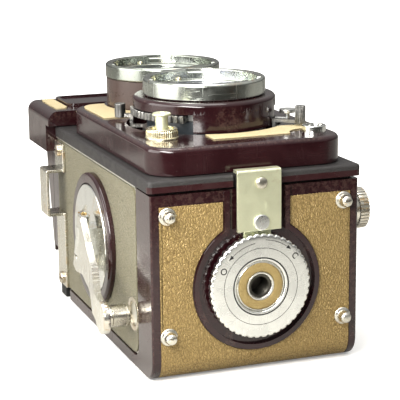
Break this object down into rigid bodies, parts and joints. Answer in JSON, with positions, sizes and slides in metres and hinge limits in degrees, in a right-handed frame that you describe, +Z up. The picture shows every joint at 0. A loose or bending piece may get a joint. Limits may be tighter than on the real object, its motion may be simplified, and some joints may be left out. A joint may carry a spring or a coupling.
{
  "type": "twin lens reflex camera",
  "caption": "Compact twin lens reflex camera for roll film, with a folding waist-level hood, side winding crank, bayonet lens rings and a locking hinged back.",
  "frame": {"origin": "on the tripod socket's axis, in the plane of the base's outer face", "axes": "+Z up as the camera stands on its feet, -Y towards the subject, -X the side with the winding crank"},
  "size_m": [0.0783, 0.0762, 0.1236],
  "materials": {
    "black_casting": "matt black enamel",
    "frame_paint": "dark grey enamel with a fine grain",
    "burgundy": "glossy dark burgundy enamel",
    "side_leather": "beige-grey pebbled covering",
    "base_leather": "gold-brown pebbled covering with a metallic sheen",
    "front_leather": "light gold covering",
    "bright_trim": "bright edge",
    "chrome_plate": "polished plate",
    "nickel_plate": "nickel plate, worn to brass on its edges",
    "satin_nickel": "warm satin nickel",
    "satin_aluminium": "satin aluminium",
    "dark_nickel": "dark nickel with bright knurling",
    "shutter_paint": "dark blue-grey satin enamel",
    "spool_paint": "black enamel",
    "spring_steel": "plain spring steel",
    "brass_pin": "plain brass",
    "mirror_silver": "front-surfaced mirror",
    "ground_glass": "finely ground",
    "lens_glass": "coated lens glass"
  },
  "bodies": {
    "camera_body": {"body_casting": "black_casting", "front_frame": "frame_paint", "side_panels": "burgundy", "side_leathers": "side_leather", "side_trims": "bright_trim", "hinge_pin": "chrome_plate", "reflex_mirror": "mirror_silver", "focusing_screen": "ground_glass", "hood_base": "burgundy", "nameplate_housing": "burgundy", "name_plate": "burgundy", "nameplate_leather": "front_leather", "strap_lugs": "nickel_plate", "lug_screws": "nickel_plate", "crank_bezel": "burgundy", "grip_eyelet": "nickel_plate"},
    "back_cover": {"back_cover": "burgundy", "cover_leather": "base_leather", "pressure_plate": "black_casting", "pressure_springs": "spring_steel", "feet": "chrome_plate", "tripod_bush": "chrome_plate", "socket_disc": "base_leather"},
    "lock_ring": {"lock_ring": "satin_aluminium"},
    "latch": {"latch_plate": "satin_nickel", "latch_studs": "satin_aluminium"},
    "focus_knob": {"focus_knob": "satin_aluminium"},
    "lens_board": {"lens_board": "burgundy", "guide_rods": "spring_steel", "board_leather": "front_leather", "shutter_can": "shutter_paint", "lens_shroud": "burgundy", "taking_bayonet": "chrome_plate", "viewing_bayonet": "chrome_plate", "viewing_tube": "burgundy", "taking_glass": "lens_glass", "viewing_glass": "lens_glass", "sync_socket": "chrome_plate", "release_collar": "nickel_plate"},
    "release_button": {"release_button": "nickel_plate"},
    "speed_ring": {"speed_ring": "dark_nickel"},
    "cocking_lever": {"cocking_lever": "dark_nickel"},
    "aperture_lever": {"aperture_lever": "satin_aluminium"},
    "sync_lever": {"sync_lever": "dark_nickel"},
    "crank_hub": {"crank_hub": "chrome_plate", "arm_pin": "brass_pin", "drive_gear": "brass_pin"},
    "crank_arm": {"crank_arm": "nickel_plate"},
    "crank_grip": {"crank_grip": "nickel_plate"},
    "take_up_spool": {"take_up_spool": "spool_paint", "spool_gear": "brass_pin"},
    "supply_spool": {"supply_spool": "spool_paint"},
    "supply_knob": {"supply_knob": "nickel_plate"},
    "take_up_knob": {"take_up_knob": "nickel_plate"},
    "hood_lid": {"hood_lid": "burgundy"},
    "rear_leaf": {"rear_leaf": "black_casting"},
    "side_leaf_right": {"side_leaf_right": "black_casting"},
    "side_leaf_left": {"side_leaf_left": "black_casting"},
    "magnifier": {"magnifier": "black_casting", "magnifier_glass": "lens_glass"}
  },
  "joints": [
    {"name": "cover_hinge", "type": "hinge", "parent": "camera_body", "child": "back_cover", "pos_m": [0, 0.02305, 0.0853], "axis": [1, 0, 0], "range_deg": [0, 110]},
    {"name": "lock_turn", "type": "hinge", "parent": "back_cover", "child": "lock_ring", "pos_m": [0, 0, -0.0029], "axis": [0, 0, 1], "range_deg": [0, 90]},
    {"name": "latch_slide", "type": "slide", "parent": "back_cover", "child": "latch", "axis": [0, -1, 0], "range_m": [0, 0.004]},
    {"name": "focus_turn", "type": "hinge", "parent": "camera_body", "child": "focus_knob", "pos_m": [0.031, -0.007, 0.05], "axis": [1, 0, 0], "range_deg": [0, 270]},
    {"name": "focus_slide", "type": "slide", "parent": "camera_body", "child": "lens_board", "axis": [0, -1, 0], "range_m": [0, 0.0038]},
    {"name": "release_press", "type": "slide", "parent": "lens_board", "child": "release_button", "axis": [0, 1, 0], "range_m": [0, 0.0022], "stiffness_N_per_m": 150, "springref_m": -0.0015},
    {"name": "speed_turn", "type": "hinge", "parent": "lens_board", "child": "speed_ring", "pos_m": [0, -0.042, 0.0395], "axis": [0, 1, 0], "range_deg": [0, 44]},
    {"name": "cocking_swing", "type": "hinge", "parent": "lens_board", "child": "cocking_lever", "pos_m": [0, -0.038, 0.0395], "axis": [0, 1, 0], "range_deg": [0, 28], "stiffness_Nm_per_rad": 0.002, "springref_deg": -8.59},
    {"name": "aperture_swing", "type": "hinge", "parent": "lens_board", "child": "aperture_lever", "pos_m": [0, -0.038, 0.0395], "axis": [0, -1, 0], "range_deg": [0, 38]},
    {"name": "sync_swing", "type": "hinge", "parent": "lens_board", "child": "sync_lever", "pos_m": [0, -0.038, 0.0395], "axis": [0, 1, 0], "range_deg": [0, 24]},
    {"name": "crank_turn", "type": "hinge", "parent": "camera_body", "child": "crank_hub", "pos_m": [-0.0315, -0.0037, 0.051], "axis": [1, 0, 0], "range_deg": [-165, 145]},
    {"name": "crank_fold", "type": "hinge", "parent": "crank_hub", "child": "crank_arm", "pos_m": [-0.0346, -0.0037, 0.051], "axis": [0, 0.9314, 0.3641], "range_deg": [0, 160]},
    {"name": "grip_spin", "type": "hinge", "parent": "crank_arm", "child": "crank_grip", "pos_m": [-0.035, 0.0097, 0.01673], "axis": [1, 0, 0], "continuous": true},
    {"name": "take_up_turn", "type": "hinge", "parent": "camera_body", "child": "take_up_spool", "pos_m": [0, 0.0075, 0.0704], "axis": [1, 0, 0], "range_deg": [-230, 230]},
    {"name": "supply_turn", "type": "hinge", "parent": "camera_body", "child": "supply_spool", "pos_m": [0, -0.01565, 0.0107], "axis": [1, 0, 0], "continuous": true},
    {"name": "supply_knob_pull", "type": "slide", "parent": "camera_body", "child": "supply_knob", "axis": [1, 0, 0], "range_m": [0, 0.004]},
    {"name": "take_up_knob_pull", "type": "slide", "parent": "camera_body", "child": "take_up_knob", "axis": [1, 0, 0], "range_m": [0, 0.004]},
    {"name": "lid_hinge", "type": "hinge", "parent": "camera_body", "child": "hood_lid", "pos_m": [0, -0.0211, 0.1142], "axis": [1, 0, 0], "range_deg": [0, 100]},
    {"name": "rear_leaf_hinge", "type": "hinge", "parent": "camera_body", "child": "rear_leaf", "pos_m": [0, 0.0118, 0.0989], "axis": [-1, 0, 0], "range_deg": [0, 90]},
    {"name": "right_leaf_hinge", "type": "hinge", "parent": "camera_body", "child": "side_leaf_right", "pos_m": [-0.0203, -0.005, 0.0974], "axis": [0, -1, 0], "range_deg": [0, 90]},
    {"name": "left_leaf_hinge", "type": "hinge", "parent": "camera_body", "child": "side_leaf_left", "pos_m": [0.0203, -0.005, 0.0974], "axis": [0, 1, 0], "range_deg": [0, 90]},
    {"name": "magnifier_hinge", "type": "hinge", "parent": "hood_lid", "child": "magnifier", "pos_m": [0, 0.0086, 0.1036], "axis": [1, 0, 0], "range_deg": [0, 90]}
  ],
  "couplings": [
    {"joint": "lock_turn", "follows": "latch_slide", "rad_per_m": 392.31},
    {"joint": "focus_turn", "follows": "focus_slide", "rad_per_m": 1238.9},
    {"joint": "take_up_turn", "follows": "crank_turn", "ratio": -1.3333},
    {"joint": "rear_leaf_hinge", "follows": "lid_hinge", "ratio": 0.9},
    {"joint": "right_leaf_hinge", "follows": "lid_hinge", "ratio": 0.9},
    {"joint": "left_leaf_hinge", "follows": "lid_hinge", "ratio": 0.9},
    {"joint": "magnifier_hinge", "follows": "lid_hinge", "ratio": 0.9}
  ]
}
